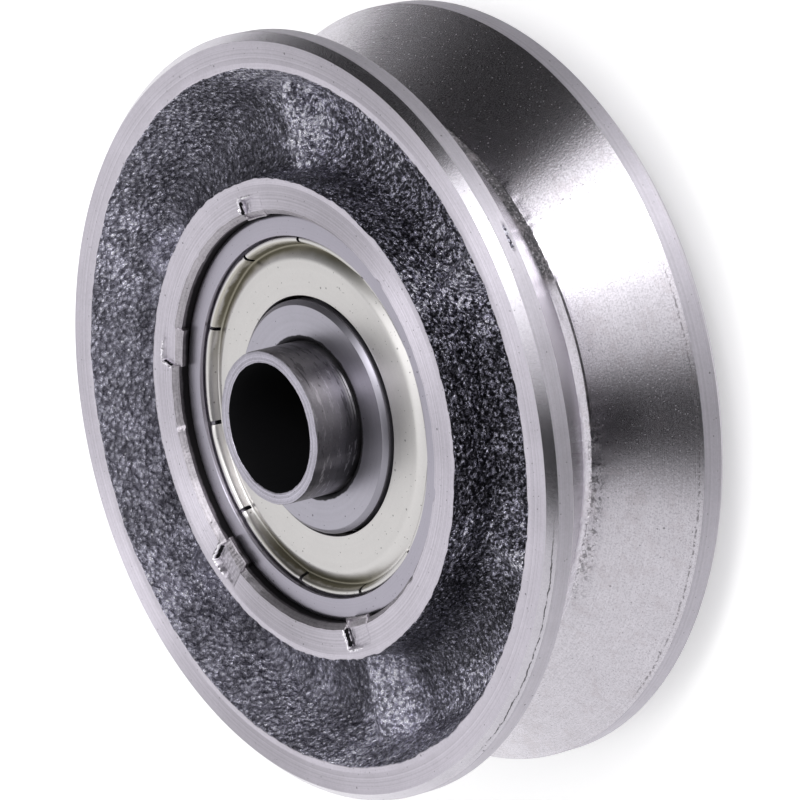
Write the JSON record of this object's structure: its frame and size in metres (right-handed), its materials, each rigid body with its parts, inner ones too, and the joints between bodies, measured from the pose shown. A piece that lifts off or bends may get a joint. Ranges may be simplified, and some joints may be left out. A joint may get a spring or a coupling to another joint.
{
  "type": "v groove wheel",
  "caption": "Cast iron wheel with a V groove round its rim for a V rail, turning on a shielded ball bearing with a plain sleeve for the axle bolt.",
  "frame": {"origin": "on the spin axis, in the middle plane of the groove, which is also the middle of the sleeve", "axes": "+Z along the spin axis, out of the face from which the bearing is pressed in and staked; +X along one of the cast ribs"},
  "size_m": [0.06, 0.06, 0.023],
  "materials": {
    "wheel_iron": "as-cast grey web and groove floor, with lathe-turned faces, lands and groove walls",
    "ring_steel": "ground and turned bearing steel",
    "shield_zinc": "zinc-plated pressed sheet, slightly yellow in the folds",
    "cage_steel": "pressed mild steel",
    "rivet_steel": "headed steel pin",
    "ball_steel": "polished bearing steel",
    "sleeve_steel": "dark drawn tube with sawn, bright ends and scratches"
  },
  "bodies": {
    "hub": {"axle_sleeve": "sleeve_steel", "inner_ring": "ring_steel"},
    "wheel": {"wheel": "wheel_iron", "outer_ring": "ring_steel", "shield_front": "shield_zinc", "shield_back": "shield_zinc"},
    "cage": {"cage_front": "cage_steel", "cage_back": "cage_steel", "cage_rivets": "rivet_steel"},
    "ball_1": {"ball_1": "ball_steel"},
    "ball_2": {"ball_2": "ball_steel"},
    "ball_3": {"ball_3": "ball_steel"},
    "ball_4": {"ball_4": "ball_steel"},
    "ball_5": {"ball_5": "ball_steel"},
    "ball_6": {"ball_6": "ball_steel"},
    "ball_7": {"ball_7": "ball_steel"}
  },
  "joints": [
    {"name": "wheel_spin", "type": "hinge", "parent": "hub", "child": "wheel", "pos_m": [0, 0, 0.0024], "axis": [0, 0, 1], "continuous": true},
    {"name": "cage_spin", "type": "hinge", "parent": "hub", "child": "cage", "pos_m": [0, 0, 0.0024], "axis": [0, 0, 1], "continuous": true},
    {"name": "ball_1_roll", "type": "hinge", "parent": "cage", "child": "ball_1", "pos_m": [0.011, 0, 0.0024], "axis": [0, 0, 1], "continuous": true},
    {"name": "ball_2_roll", "type": "hinge", "parent": "cage", "child": "ball_2", "pos_m": [0.00686, 0.0086, 0.0024], "axis": [0, 0, 1], "continuous": true},
    {"name": "ball_3_roll", "type": "hinge", "parent": "cage", "child": "ball_3", "pos_m": [-0.00245, 0.01072, 0.0024], "axis": [0, 0, 1], "continuous": true},
    {"name": "ball_4_roll", "type": "hinge", "parent": "cage", "child": "ball_4", "pos_m": [-0.00991, 0.00477, 0.0024], "axis": [0, 0, 1], "continuous": true},
    {"name": "ball_5_roll", "type": "hinge", "parent": "cage", "child": "ball_5", "pos_m": [-0.00991, -0.00477, 0.0024], "axis": [0, 0, 1], "continuous": true},
    {"name": "ball_6_roll", "type": "hinge", "parent": "cage", "child": "ball_6", "pos_m": [-0.00245, -0.01072, 0.0024], "axis": [0, 0, 1], "continuous": true},
    {"name": "ball_7_roll", "type": "hinge", "parent": "cage", "child": "ball_7", "pos_m": [0.00686, -0.0086, 0.0024], "axis": [0, 0, 1], "continuous": true}
  ],
  "couplings": [
    {"joint": "cage_spin", "follows": "wheel_spin", "ratio": 0.6353},
    {"joint": "ball_1_roll", "follows": "wheel_spin", "ratio": 1.7125},
    {"joint": "ball_2_roll", "follows": "wheel_spin", "ratio": 1.7125},
    {"joint": "ball_3_roll", "follows": "wheel_spin", "ratio": 1.7125},
    {"joint": "ball_4_roll", "follows": "wheel_spin", "ratio": 1.7125},
    {"joint": "ball_5_roll", "follows": "wheel_spin", "ratio": 1.7125},
    {"joint": "ball_6_roll", "follows": "wheel_spin", "ratio": 1.7125},
    {"joint": "ball_7_roll", "follows": "wheel_spin", "ratio": 1.7125}
  ]
}
